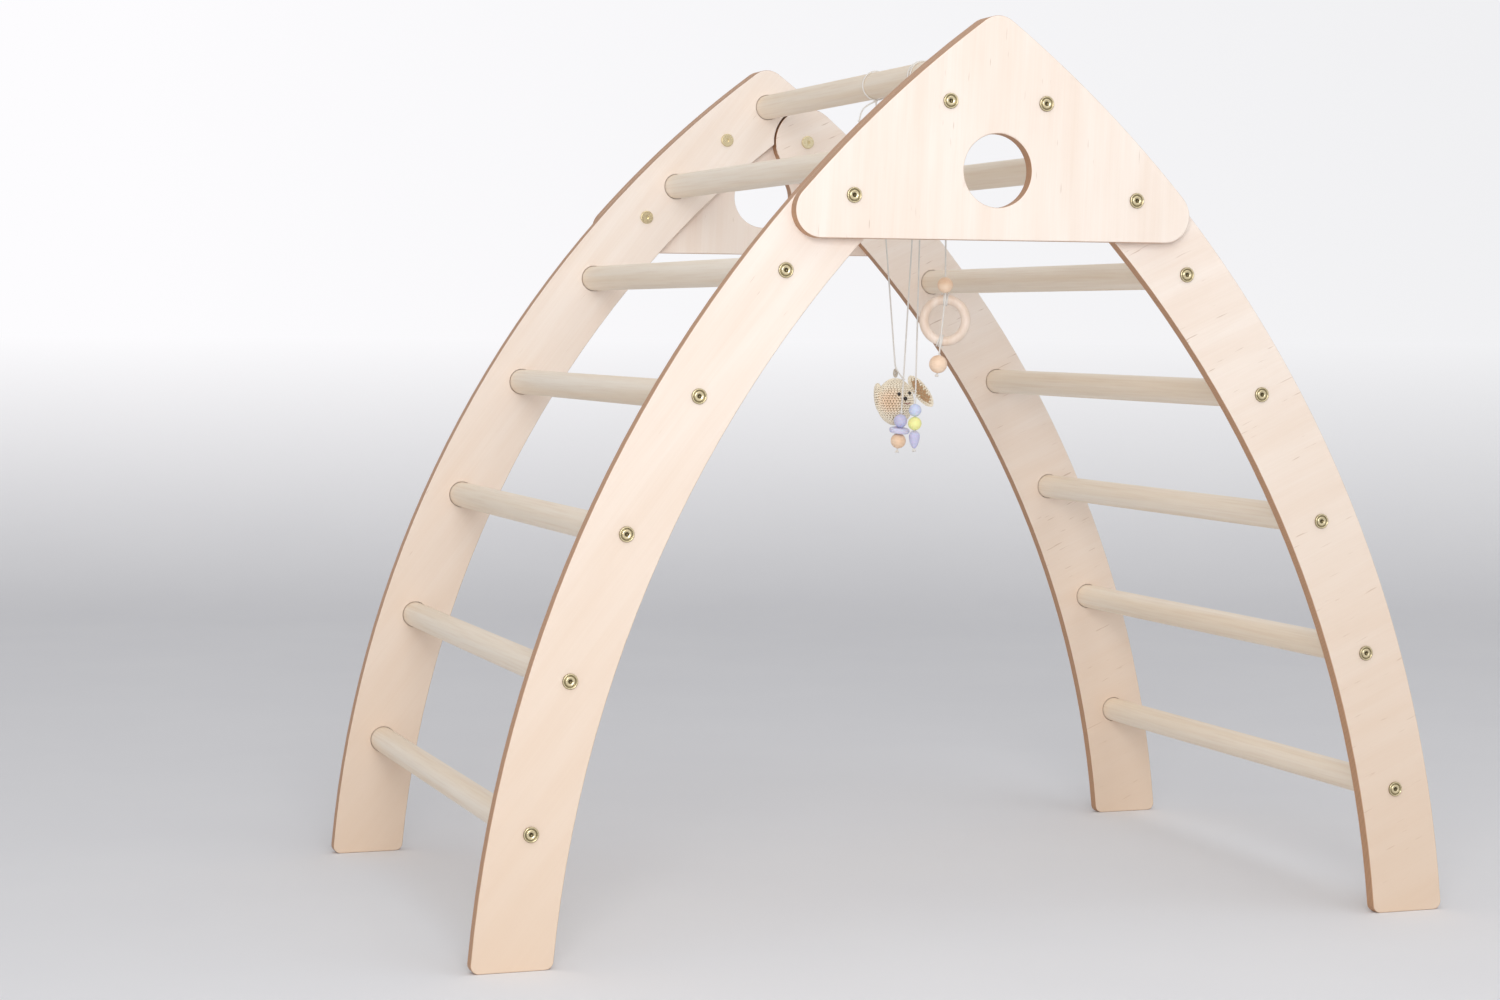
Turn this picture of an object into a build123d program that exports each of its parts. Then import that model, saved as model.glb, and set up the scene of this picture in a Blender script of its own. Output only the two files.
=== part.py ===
from build123d import *
import os
from math import acos, asin, cos, degrees, pi, radians, sin, sqrt, tan

# Climbing triangle for small children, with three toys hung from its top rung.
# Millimetres. The origin is on the floor under the top rung, half way between the two side panels.
# X runs across the spread of the legs, the front is -Y and +Z is up.

# Arched side panels
PANEL_THICKNESS = 15.0
WIDTH_OVER_PANELS = 715.0
LEG_BAND = 85.0
FOOT_CORNER = 9.0
EDGE_ROUND = 1.5

# The rungs lie on one circle on each side of the frame
RUNG_CIRCLE = 1286.0
TOP_RUNG_HEIGHT = 917.0
TOP_RUNG_ANGLE = 53.24
RUNG_SPACING = 157.0
RUNGS_A_SIDE = 6
RUNG_DIAMETER = 30.0
RUNG_END_CHAMFER = 1.0
POCKET_DEPTH = 6.0
POCKET_CLEARANCE = 0.75

# Gussets over the top joint
GUSSET_THICKNESS = 15.0
GUSSET_BOTTOM = 733.0
GUSSET_CORNER = 28.0
APEX_ROUND = 26.0
WINDOW_DIAMETER = 76.0
WINDOW_HEIGHT = 804.7
UPPER_BOLT_REACH = 68.4
LOWER_BOLT_REACH = 212.0
HEAD_GAP = 2.0
LIP_REACH = 25.0
LIP_ROUND = 2.0

# Furniture connector bolts, sleeve nuts and insert nuts
BOLT_HEAD_DIAMETER = 16.0
BOLT_HEAD_HEIGHT = 2.3
BOLT_HEAD_ROUND = 0.8
SHANK_DIAMETER = 6.0
SHANK_HOLE_CLEARANCE = 0.3
THREAD_CLEARANCE = 0.05
SOCKET_FLATS = 4.0
SOCKET_DEPTH = 1.8
THREAD_ENGAGED = 10.0
INSERT_DIAMETER = 9.5
INSERT_LENGTH = 13.0
INSERT_RECESS = 0.5
BORE_SPARE = 2.0
SLEEVE_DIAMETER = 8.0
SLEEVE_LENGTH = 12.0
SLEEVE_CLEARANCE = 0.2
SLEEVE_FLOOR = 1.0
COUNTERSINK_DIAMETER = 12.0
COUNTERSINK_ANGLE = 90.0
COUNTERSINK_DEPTH_BELOW = 0.2

# Cords of the toys
CORD_DIAMETER = 1.8
CORD_CLEARANCE = 0.3
KNOT_DIAMETER = 4.4
END_KNOT_DIAMETER = 5.0
TIED_BEND = 6.0
STRAND_BEND = 300.0
LASHED_BEND = 400.0
BEND_SHARE = 0.45

# Where the toys hang; a toy's sideways and depth directions are those of someone who looks at its face
FACE_AZIMUTH = 22.4
LONG_CORD_ANCHOR = -28.0
SHORT_CORD_ANCHOR = -163.0
DROP_ANCHOR = -170.0
RING_TOY_ANCHOR = -236.0
GARLAND_TIE = (0.0, -118.8, 585.0)
STRAND_TOP = (0.0, -113.6, 548.0)
STRAND_END = (-2.5, -107.5, 503.5)
DROP_END = (0.0, -151.5, 506.5)
SLACK_TAIL = [(-8.0, -25.0, 896.0), (-16.0, -21.0, 888.0), (-17.0, -20.0, 877.0)]

# Stuffed rabbit head of the garland; its features lie at a sideways distance and a height
HEAD_CENTRE = (1.7, -90.4, 559.0)
HEAD_HALF = (21.0, 16.0, 26.5)
RIGHT_EAR_HALF = (8.0, 3.0, 21.0)
RIGHT_EAR_CENTRE = (28.5, 571.0)
RIGHT_EAR_LEAN = 38.0
LEFT_EAR_HALF = (2.2, 8.0, 18.0)
LEFT_EAR_CENTRE = (-23.5, 562.0)
LEFT_EAR_LEAN = -10.0
EYE_DIAMETER = 4.0
EYES = [(4.4, 568.0), (16.0, 569.0)]
NOSE_DIAMETER = 4.6
NOSE = (11.6, 563.0)
HANGING_LOOP = 8.4
HANGING_LOOP_YARN = 2.4
SOFT_GAP = 0.3

# Beads and the teething ring
BEAD_BORE_CLEARANCE = 0.3
BEAD_GAP = 0.3
SURFACE_GAP = 0.1
LAVENDER_BEAD = 15.0
LAVENDER_DISC = 23.0
LAVENDER_DISC_HEIGHT = 6.0
GARLAND_WOOD_BEAD = 17.0
BLUE_BEAD = 14.0
YELLOW_BEAD = 15.0
DROP_BEAD = 12.0
DROP_BEAD_LENGTH = 19.5
DROP_BEAD_FOOT = 3.6
RING_DIAMETER = 55.5
RING_TUBE = 10.5
RING_HEIGHT = 650.6
RING_UPPER_BEAD = 17.0
RING_UPPER_BEAD_HEIGHT = 688.6
RING_LOWER_BEAD = 19.5
RING_LOWER_BEAD_HEIGHT = 603.4
RING_CORD_LEAN = 5.7
LASHING_WIDTH = 5.4
LASHING_THICKNESS = 2.4

# Worked out from the sizes above
HALF_WIDTH = WIDTH_OVER_PANELS / 2
INNER_FACE = HALF_WIDTH - PANEL_THICKNESS
OUTER_ARC = RUNG_CIRCLE + LEG_BAND / 2
INNER_ARC = RUNG_CIRCLE - LEG_BAND / 2
CIRCLE_SIDE = RUNG_CIRCLE * cos(radians(TOP_RUNG_ANGLE))
CIRCLE_HEIGHT = TOP_RUNG_HEIGHT - RUNG_CIRCLE * sin(radians(TOP_RUNG_ANGLE))
RUNG_STEP = 2 * degrees(asin(RUNG_SPACING / 2 / RUNG_CIRCLE))
RUNG_ANGLES = [TOP_RUNG_ANGLE - step * RUNG_STEP for step in range(RUNGS_A_SIDE + 1)]
UPPER_BOLT_ANGLE = TOP_RUNG_ANGLE - degrees(UPPER_BOLT_REACH / RUNG_CIRCLE)
LOWER_BOLT_ANGLE = TOP_RUNG_ANGLE - degrees(LOWER_BOLT_REACH / RUNG_CIRCLE)
RUNG_LENGTH = 2 * (INNER_FACE + POCKET_DEPTH)
RUNG_BOLT_REACH = PANEL_THICKNESS - POCKET_DEPTH + INSERT_RECESS + THREAD_ENGAGED
GUSSET_BOLT_REACH = GUSSET_THICKNESS + PANEL_THICKNESS - 2 * SLEEVE_FLOOR
HITCH_HEIGHT = TOP_RUNG_HEIGHT - RUNG_DIAMETER / 2 - CORD_CLEARANCE - KNOT_DIAMETER / 2
FACE_SIDEWAYS = (cos(radians(FACE_AZIMUTH)), -sin(radians(FACE_AZIMUTH)), 0)
FACE_FORWARD = (-sin(radians(FACE_AZIMUTH)), -cos(radians(FACE_AZIMUTH)), 0)
RING_RADIUS = (RING_DIAMETER - RING_TUBE) / 2
CORD_BEFORE_RING = (RING_TUBE + CORD_DIAMETER) / 2 + SURFACE_GAP
RING_PLANE = Plane(
    Vector(0, RING_TOY_ANCHOR, RING_HEIGHT) - Vector(*FACE_FORWARD) * CORD_BEFORE_RING,
    x_dir=FACE_SIDEWAYS,
    z_dir=FACE_FORWARD,
)
LEFT = -1
RIGHT = 1

os.makedirs("parts", exist_ok=True)


def save(name, shape):
    """Label one finished piece and write its file."""
    shape.label = name
    export_step(shape, f"parts/{name}.step")


# Points and arcs of the side panels, seen from the front


def on_side(radius, angle, side):
    """A point at a radius about the rung circle's centre, at an angle above level."""
    across = side * (radius * cos(radians(angle)) - CIRCLE_SIDE)
    return (across, radius * sin(radians(angle)) + CIRCLE_HEIGHT)


def angle_at_height(radius, height):
    """The angle at which an arc of this radius reaches a height."""
    return degrees(asin((height - CIRCLE_HEIGHT) / radius))


def side_arc(radius, first, last, side):
    """An arc of a side panel between two angles."""
    middle = (first + last) / 2
    return ThreePointArc(
        on_side(radius, first, side), on_side(radius, middle, side), on_side(radius, last, side)
    )


APEX_ANGLE = degrees(acos(CIRCLE_SIDE / OUTER_ARC))
RUNG_POINTS = {
    side: [on_side(RUNG_CIRCLE, angle, side) for angle in RUNG_ANGLES] for side in (LEFT, RIGHT)
}
GUSSET_BOLT_POINTS = [
    on_side(RUNG_CIRCLE, angle, side)
    for side in (LEFT, RIGHT)
    for angle in (UPPER_BOLT_ANGLE, LOWER_BOLT_ANGLE)
]


def under_gusset(angle):
    """True for a rung whose end lies behind the gusset."""
    return angle > angle_at_height(RUNG_CIRCLE, GUSSET_BOTTOM)


HIDDEN_POINTS = {
    LEFT: [on_side(RUNG_CIRCLE, a, LEFT) for a in RUNG_ANGLES if under_gusset(a)],
    RIGHT: [on_side(RUNG_CIRCLE, a, RIGHT) for a in RUNG_ANGLES[1:] if under_gusset(a)],
}
SHOWN_POINTS = {
    side: [on_side(RUNG_CIRCLE, a, side) for a in RUNG_ANGLES if not under_gusset(a)]
    for side in (LEFT, RIGHT)
}

# Panels are drawn on their outer face, seen from the front
PANEL_FACE = Plane.XZ.offset(HALF_WIDTH)
PANEL_BACK = Plane.XZ.offset(INNER_FACE)
GUSSET_FACE = Plane.XZ.offset(HALF_WIDTH + GUSSET_THICKNESS)


def corners_near(corners, point, reach):
    """Those corners that lie within a distance of a point."""
    centre = Vector(*point)
    return [corner for corner in corners if (Vector(*corner) - centre).length < reach]


# Outlines of the two leg shapes


def left_outline():
    """The left leg: an arched band whose head runs over the apex to the right leg's round end."""
    foot_outer = angle_at_height(OUTER_ARC, 0)
    foot_inner = angle_at_height(INNER_ARC, 0)
    lip_angle = UPPER_BOLT_ANGLE + degrees(LIP_REACH / OUTER_ARC)
    lip_point = on_side(OUTER_ARC, lip_angle, RIGHT)
    right_bolt = on_side(RUNG_CIRCLE, UPPER_BOLT_ANGLE, RIGHT)
    with BuildSketch() as profile:
        with BuildLine():
            side_arc(OUTER_ARC, foot_outer, APEX_ANGLE, LEFT)
            side_arc(OUTER_ARC, APEX_ANGLE, lip_angle, RIGHT)
            Line(lip_point, on_side(INNER_ARC, TOP_RUNG_ANGLE, LEFT))
            side_arc(INNER_ARC, TOP_RUNG_ANGLE, foot_inner, LEFT)
            Line(on_side(INNER_ARC, foot_inner, LEFT), on_side(OUTER_ARC, foot_outer, LEFT))
        make_face()
        fillet(profile.vertices().group_by(Axis.Y)[-1], APEX_ROUND)
        with Locations(right_bolt):
            Circle(LEG_BAND / 2 + HEAD_GAP, mode=Mode.SUBTRACT)
        fillet(corners_near(profile.vertices(), right_bolt, LEG_BAND), LIP_ROUND)
        fillet(profile.vertices().group_by(Axis.Y)[0], FOOT_CORNER)
    return profile.sketch


def right_outline():
    """The right leg: an arched band that ends in a half round about the gusset's upper bolt."""
    foot_outer = angle_at_height(OUTER_ARC, 0)
    foot_inner = angle_at_height(INNER_ARC, 0)
    bolt = on_side(RUNG_CIRCLE, UPPER_BOLT_ANGLE, RIGHT)
    rise = radians(UPPER_BOLT_ANGLE)
    tip = (bolt[0] - LEG_BAND / 2 * sin(rise), bolt[1] + LEG_BAND / 2 * cos(rise))
    with BuildSketch() as profile:
        with BuildLine():
            side_arc(OUTER_ARC, foot_outer, UPPER_BOLT_ANGLE, RIGHT)
            ThreePointArc(
                on_side(OUTER_ARC, UPPER_BOLT_ANGLE, RIGHT),
                tip,
                on_side(INNER_ARC, UPPER_BOLT_ANGLE, RIGHT),
            )
            side_arc(INNER_ARC, UPPER_BOLT_ANGLE, foot_inner, RIGHT)
            Line(on_side(INNER_ARC, foot_inner, RIGHT), on_side(OUTER_ARC, foot_outer, RIGHT))
        make_face()
        fillet(profile.vertices().group_by(Axis.Y)[0], FOOT_CORNER)
    return profile.sketch


# Wooden pieces of the frame


def front_leg(outline, side):
    """A leg of the front panel: rung pockets inside, bolt holes, and countersinks under the gusset."""
    with BuildPart(PANEL_FACE) as leg:
        with BuildSketch(PANEL_FACE):
            add(outline)
        extrude(amount=-PANEL_THICKNESS)
        fillet(leg.edges().filter_by(Axis.Y, reverse=True), EDGE_ROUND)
        with BuildSketch(PANEL_BACK):
            with Locations(*HIDDEN_POINTS[side], *SHOWN_POINTS[side]):
                Circle(RUNG_DIAMETER / 2 + POCKET_CLEARANCE)
        extrude(amount=POCKET_DEPTH, mode=Mode.SUBTRACT)
        with Locations(*SHOWN_POINTS[side]):
            Hole(SHANK_DIAMETER / 2 + SHANK_HOLE_CLEARANCE)
        with Locations(*HIDDEN_POINTS[side]):
            CounterSinkHole(
                SHANK_DIAMETER / 2 + SHANK_HOLE_CLEARANCE,
                COUNTERSINK_DIAMETER / 2 + COUNTERSINK_DEPTH_BELOW,
                counter_sink_angle=COUNTERSINK_ANGLE,
            )
        with Locations(*[point for point in GUSSET_BOLT_POINTS if point[0] * side > 0]):
            Hole(SLEEVE_DIAMETER / 2 + SLEEVE_CLEARANCE)
    return leg.part


def front_gusset():
    """A plate with the legs' two arcs as its sides and a round window."""
    foot = angle_at_height(OUTER_ARC, GUSSET_BOTTOM)
    with BuildPart(GUSSET_FACE) as plate:
        with BuildSketch(GUSSET_FACE) as profile:
            with BuildLine():
                side_arc(OUTER_ARC, foot, APEX_ANGLE, LEFT)
                side_arc(OUTER_ARC, APEX_ANGLE, foot, RIGHT)
                Line(on_side(OUTER_ARC, foot, RIGHT), on_side(OUTER_ARC, foot, LEFT))
            make_face()
            fillet(profile.vertices().group_by(Axis.Y)[-1], APEX_ROUND)
            fillet(profile.vertices().group_by(Axis.Y)[0], GUSSET_CORNER)
            with Locations((0, WINDOW_HEIGHT)):
                Circle(WINDOW_DIAMETER / 2, mode=Mode.SUBTRACT)
        extrude(amount=-GUSSET_THICKNESS)
        fillet(plate.edges().filter_by(Axis.Y, reverse=True), EDGE_ROUND)
        with Locations(*GUSSET_BOLT_POINTS):
            Hole(SHANK_DIAMETER / 2 + SHANK_HOLE_CLEARANCE)
    return plate.part


def rung(point):
    """A dowel between the two pockets of one rung, bored at both ends for its insert nuts."""
    with BuildPart() as dowel:
        with BuildSketch(Plane.XZ):
            with Locations(point):
                Circle(RUNG_DIAMETER / 2)
        extrude(amount=RUNG_LENGTH / 2, both=True)
        chamfer(dowel.edges().filter_by(GeomType.CIRCLE), RUNG_END_CHAMFER)
        for end in (-1, 1):
            with BuildSketch(Plane.XZ.offset(end * RUNG_LENGTH / 2)):
                with Locations(point):
                    Circle(INSERT_DIAMETER / 2)
            extrude(amount=-end * (INSERT_RECESS + INSERT_LENGTH + BORE_SPARE), mode=Mode.SUBTRACT)
    return dowel.part


# Fasteners of the front panel


def connector_bolts(points, face, reach):
    """Round-headed bolts with a hex socket, seated on a face."""
    with BuildPart() as bolts:
        with BuildSketch(face):
            with Locations(*points):
                Circle(BOLT_HEAD_DIAMETER / 2)
        extrude(amount=BOLT_HEAD_HEIGHT)
        fillet(bolts.edges().group_by(Axis.Y)[0], BOLT_HEAD_ROUND)
        with BuildSketch(face):
            with Locations(*points):
                Circle(SHANK_DIAMETER / 2)
        extrude(amount=-reach)
        with BuildSketch(face.offset(BOLT_HEAD_HEIGHT)):
            with Locations(*points):
                RegularPolygon(SOCKET_FLATS / 2, 6, major_radius=False)
        extrude(amount=-SOCKET_DEPTH, mode=Mode.SUBTRACT)
    return bolts.part


def countersunk_screws(points):
    """Screws that hold the rung ends behind the gusset, their heads just under the panel's face."""
    face = PANEL_FACE.offset(-COUNTERSINK_DEPTH_BELOW)
    half_angle = COUNTERSINK_ANGLE / 2
    head_depth = (COUNTERSINK_DIAMETER - SHANK_DIAMETER) / 2 / tan(radians(half_angle))
    with BuildPart() as screws:
        with BuildSketch(face):
            with Locations(*points):
                Circle(COUNTERSINK_DIAMETER / 2)
        extrude(amount=-head_depth, taper=half_angle)
        with BuildSketch(face):
            with Locations(*points):
                Circle(SHANK_DIAMETER / 2)
        extrude(amount=COUNTERSINK_DEPTH_BELOW - RUNG_BOLT_REACH)
        with BuildSketch(face):
            with Locations(*points):
                RegularPolygon(SOCKET_FLATS / 2, 6, major_radius=False)
        extrude(amount=-SOCKET_DEPTH, mode=Mode.SUBTRACT)
    return screws.part


def insert_nuts(points):
    """Threaded inserts sunk just under the front ends of the rungs."""
    with BuildPart() as inserts:
        with BuildSketch(Plane.XZ.offset(RUNG_LENGTH / 2 - INSERT_RECESS)):
            with Locations(*points):
                Circle(INSERT_DIAMETER / 2)
                Circle(SHANK_DIAMETER / 2 + THREAD_CLEARANCE, mode=Mode.SUBTRACT)
        extrude(amount=-INSERT_LENGTH)
    return inserts.part


def sleeve_nuts(points):
    """Cap nuts whose sleeves reach into the legs from inside to take the gusset bolts."""
    with BuildPart() as nuts:
        with BuildSketch(PANEL_BACK):
            with Locations(*points):
                Circle(BOLT_HEAD_DIAMETER / 2)
        extrude(amount=-BOLT_HEAD_HEIGHT)
        fillet(nuts.edges().group_by(Axis.Y)[-1], BOLT_HEAD_ROUND)
        with BuildSketch(PANEL_BACK):
            with Locations(*points):
                Circle(SLEEVE_DIAMETER / 2)
        extrude(amount=SLEEVE_LENGTH)
        with BuildSketch(PANEL_BACK.offset(SLEEVE_LENGTH)):
            with Locations(*points):
                Circle(SHANK_DIAMETER / 2 + THREAD_CLEARANCE)
        extrude(amount=SLEEVE_FLOOR - SLEEVE_LENGTH, mode=Mode.SUBTRACT)
        with BuildSketch(PANEL_BACK.offset(-BOLT_HEAD_HEIGHT)):
            with Locations(*points):
                RegularPolygon(SOCKET_FLATS / 2, 6, major_radius=False)
        extrude(amount=SOCKET_DEPTH, mode=Mode.SUBTRACT)
    return nuts.part


def save_front_and_rear(name, shape):
    """Write a front piece, and its twin on the rear panel."""
    save(name.replace("*", "front"), shape)
    with BuildPart() as twin:
        mirror(shape, about=Plane.XZ)
    save(name.replace("*", "rear"), twin.part)


# Cords


def hitch(anchor):
    """A cord's loop round the top rung, whose two ends meet in the knot right under the rung."""
    radius = RUNG_DIAMETER / 2 + CORD_CLEARANCE + CORD_DIAMETER / 2
    with BuildPart(Plane((0, anchor, TOP_RUNG_HEIGHT), x_dir=(1, 0, 0), z_dir=(0, -1, 0))) as loop:
        Torus(radius, CORD_DIAMETER / 2, rotation=(0, 0, -90))
        with Locations((0, HITCH_HEIGHT - TOP_RUNG_HEIGHT)):
            Sphere(KNOT_DIAMETER / 2)
    return loop.part


def cord_tube(name, points, radii=()):
    """A round cord along straight runs that are joined by tangent arcs."""
    with BuildPart() as tube:
        with BuildLine() as route:
            if radii:
                FilletPolyline(*points, radius=list(radii))
            else:
                Line(*points)
        with BuildSketch(Plane(route.line @ 0, z_dir=route.line % 0)):
            Circle(CORD_DIAMETER / 2)
        sweep()
    length = route.wire().length
    filled = tube.part.volume / (pi * CORD_DIAMETER**2 / 4 * length)
    bends = [round(radius, 1) for radius in radii]
    print(f"{name}: {length:.1f} mm long, bends {bends} mm, volume {filled:.4f} of section x length")
    return tube.part


def widest_bend(before, corner, after):
    """The radius of the largest arc that the two runs beside a corner have room for."""
    first = Vector(*corner) - Vector(*before)
    second = Vector(*after) - Vector(*corner)
    half_turn = radians(first.get_angle(second)) / 2
    return BEND_SHARE * min(first.length, second.length) / tan(half_turn)


def knot(point, diameter):
    """A round knot on a cord."""
    with BuildPart(Plane(point)) as ball:
        Sphere(diameter / 2)
    return ball.part


def joined(*shapes):
    """Stretches, loops and knots of one cord as one solid."""
    with BuildPart() as whole:
        add(shapes)
    return whole.part


# Toy pieces


def toward(sideways, height, depth=0.0):
    """A point beside the rabbit head's centre, as its viewer sees it; depth is toward the viewer."""
    turn = radians(FACE_AZIMUTH)
    across = sideways * cos(turn) - depth * sin(turn)
    along = -sideways * sin(turn) - depth * cos(turn)
    return Vector(HEAD_CENTRE[0] + across, HEAD_CENTRE[1] + along, height)


def swollen(origin, half_sizes, lean=0.0):
    """A closed soft form that swells in its middle and tapers to its ends."""
    upright = Plane(origin, x_dir=FACE_SIDEWAYS, z_dir=(0, 0, 1))
    return upright * Rot(0, -lean, 0) * scale(Sphere(1), by=half_sizes)


def seated(shape, carrier):
    """A small piece cut to sit on the piece that carries it."""
    with BuildPart() as piece:
        add(shape)
        add(carrier, mode=Mode.SUBTRACT)
    return piece.part


def face_bead(place, diameter, head):
    """An eye or the nose, half sunk in the head's front where the head's surface is."""
    across = place[0] / HEAD_HALF[0]
    rise = (place[1] - HEAD_CENTRE[2]) / HEAD_HALF[2]
    depth = HEAD_HALF[1] * sqrt(1 - across**2 - rise**2)
    return seated(knot(toward(place[0], place[1], depth), diameter), head)


def bored(shape, plane):
    """A bead bored along its middle for the cord, and placed on it."""
    with BuildPart() as bead:
        add(shape)
        Hole(CORD_DIAMETER / 2 + BEAD_BORE_CLEARANCE)
    return plane * bead.part


def disc_bead():
    """A flat round bead with a full round rim."""
    with BuildPart() as bead:
        with BuildSketch(Plane.XZ):
            SlotOverall(LAVENDER_DISC, LAVENDER_DISC_HEIGHT)
            Rectangle(LAVENDER_DISC, LAVENDER_DISC, align=(Align.MIN, Align.CENTER), mode=Mode.INTERSECT)
        revolve(axis=Axis.Z)
    return bead.part


def drop_bead():
    """A bead that swells under its top and tapers to a point at its foot."""
    radius = DROP_BEAD / 2
    top = DROP_BEAD_LENGTH / 2
    wide = top - radius
    with BuildPart() as bead:
        with BuildSketch(Plane.XZ):
            with BuildLine():
                CenterArc((0, wide), radius, 0, 90)
                TangentArc((radius, wide), (DROP_BEAD_FOOT / 2, -top), tangent=(0, -1))
                Polyline((DROP_BEAD_FOOT / 2, -top), (0, -top), (0, top))
            make_face()
        revolve(axis=Axis.Z)
    return bead.part


def lashing(angle):
    """Close turns of cord round the teething ring's tube, as one collar at an angle on the ring."""
    half_arc = LASHING_WIDTH / 2 / RING_RADIUS
    start = angle - half_arc
    place = RING_PLANE.from_local_coords((RING_RADIUS * cos(start), RING_RADIUS * sin(start), 0))
    tangent = RING_PLANE.from_local_coords((-sin(start), cos(start), 0)) - RING_PLANE.origin
    bore = RING_TUBE / 2 + SURFACE_GAP
    with BuildPart() as collar:
        with BuildSketch(Plane(place, z_dir=tangent)):
            Circle(bore + LASHING_THICKNESS)
            Circle(bore, mode=Mode.SUBTRACT)
        revolve(axis=Axis(RING_PLANE.origin, RING_PLANE.z_dir), revolution_arc=degrees(2 * half_arc))
    return collar.part


# Frame
rung_names = ["top_rung"] + [f"left_rung_{count}" for count in range(1, RUNGS_A_SIDE + 1)]
for name, point in zip(rung_names, RUNG_POINTS[LEFT]):
    save(name, rung(point))
for count, point in enumerate(RUNG_POINTS[RIGHT][1:], start=1):
    save(f"right_rung_{count}", rung(point))
save_front_and_rear("left_*_leg", front_leg(left_outline(), LEFT))
save_front_and_rear("right_*_leg", front_leg(right_outline(), RIGHT))
save_front_and_rear("*_gusset", front_gusset())

# Fasteners
hidden = HIDDEN_POINTS[LEFT] + HIDDEN_POINTS[RIGHT]
shown = SHOWN_POINTS[LEFT] + SHOWN_POINTS[RIGHT]
left_bolts = connector_bolts(SHOWN_POINTS[LEFT], PANEL_FACE, RUNG_BOLT_REACH)
right_bolts = connector_bolts(SHOWN_POINTS[RIGHT], PANEL_FACE, RUNG_BOLT_REACH)
gusset_bolts = connector_bolts(GUSSET_BOLT_POINTS, GUSSET_FACE, GUSSET_BOLT_REACH)
save_front_and_rear("left_*_rung_bolts", left_bolts)
save_front_and_rear("right_*_rung_bolts", right_bolts)
save_front_and_rear("*_gusset_bolts", gusset_bolts)
save_front_and_rear("*_hidden_rung_screws", countersunk_screws(hidden))
save_front_and_rear("*_rung_inserts", insert_nuts(hidden + shown))
save_front_and_rear("*_gusset_nuts", sleeve_nuts(GUSSET_BOLT_POINTS))

# Rabbit head of the garland
head = swollen(HEAD_CENTRE, HEAD_HALF)
right_ear = swollen(toward(*RIGHT_EAR_CENTRE), RIGHT_EAR_HALF, RIGHT_EAR_LEAN)
left_ear = swollen(toward(*LEFT_EAR_CENTRE), LEFT_EAR_HALF, LEFT_EAR_LEAN)
loop_height = HEAD_CENTRE[2] + HEAD_HALF[2] + SOFT_GAP + (HANGING_LOOP + HANGING_LOOP_YARN) / 2
with BuildPart(Plane((HEAD_CENTRE[0], HEAD_CENTRE[1], loop_height), z_dir=(0, -1, 0))) as hanging_loop:
    Torus(HANGING_LOOP / 2, HANGING_LOOP_YARN / 2)
loop_top = (HEAD_CENTRE[0], HEAD_CENTRE[1], loop_height + HANGING_LOOP / 2)
eyes = joined(*[face_bead(eye, EYE_DIAMETER, head) for eye in EYES])
save("rabbit_head", head)
save("rabbit_right_ear", seated(right_ear, head))
save("rabbit_left_ear", seated(left_ear, head))
save("rabbit_eyes", eyes)
save("rabbit_nose", face_bead(NOSE, NOSE_DIAMETER, head))
save("rabbit_hanging_loop", hanging_loop.part)

# Garland: a long and a short cord that meet over the rabbit's head, and a strand of beads below
long_points = [(0, LONG_CORD_ANCHOR, HITCH_HEIGHT), loop_top, GARLAND_TIE]
short_points = [(0, SHORT_CORD_ANCHOR, HITCH_HEIGHT), STRAND_TOP, STRAND_END]
tail_points = [(0, LONG_CORD_ANCHOR, HITCH_HEIGHT), *SLACK_TAIL]
tail_bends = [widest_bend(*tail_points[corner : corner + 3]) for corner in range(2)]
short_cord = joined(
    cord_tube("short cord", short_points, [STRAND_BEND]),
    hitch(SHORT_CORD_ANCHOR),
    knot(STRAND_TOP, KNOT_DIAMETER),
    knot(STRAND_END, END_KNOT_DIAMETER),
)
long_cord = joined(
    cord_tube("long cord", long_points, [TIED_BEND]),
    cord_tube("slack tail", tail_points, tail_bends),
    hitch(LONG_CORD_ANCHOR),
    knot(loop_top, KNOT_DIAMETER),
)
save("garland_short_cord", short_cord)
save("garland_long_cord", seated(seated(long_cord, hanging_loop.part), short_cord))
strand = Vector(*STRAND_TOP) - Vector(*STRAND_END)
stack = [
    ("lavender_bead", Sphere(LAVENDER_BEAD / 2), LAVENDER_BEAD),
    ("lavender_disc", disc_bead(), LAVENDER_DISC_HEIGHT),
    ("garland_wood_bead", Sphere(GARLAND_WOOD_BEAD / 2), GARLAND_WOOD_BEAD),
]
along = KNOT_DIAMETER / 2
for name, shape, height in stack:
    place = Vector(*STRAND_TOP) - strand.normalized() * (along + BEAD_GAP + height / 2)
    save(name, bored(shape, Plane(place, z_dir=strand)))
    along += BEAD_GAP + height

# Bead drop: one cord with three beads
drop_points = [(0, DROP_ANCHOR, HITCH_HEIGHT), DROP_END]
drop_cord = joined(
    cord_tube("drop cord", drop_points), hitch(DROP_ANCHOR), knot(DROP_END, END_KNOT_DIAMETER)
)
save("drop_cord", drop_cord)
drop_line = Vector(*drop_points[0]) - Vector(*drop_points[1])
stack = [
    ("blue_bead", Sphere(BLUE_BEAD / 2), BLUE_BEAD),
    ("yellow_bead", Sphere(YELLOW_BEAD / 2), YELLOW_BEAD),
    ("lavender_drop_bead", drop_bead(), DROP_BEAD_LENGTH),
]
along = END_KNOT_DIAMETER / 2 + BEAD_GAP
for name, shape, height in reversed(stack):
    place = Vector(*DROP_END) + drop_line.normalized() * (along + height / 2)
    save(name, bored(shape, Plane(place, z_dir=drop_line)))
    along += BEAD_GAP + height

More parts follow.
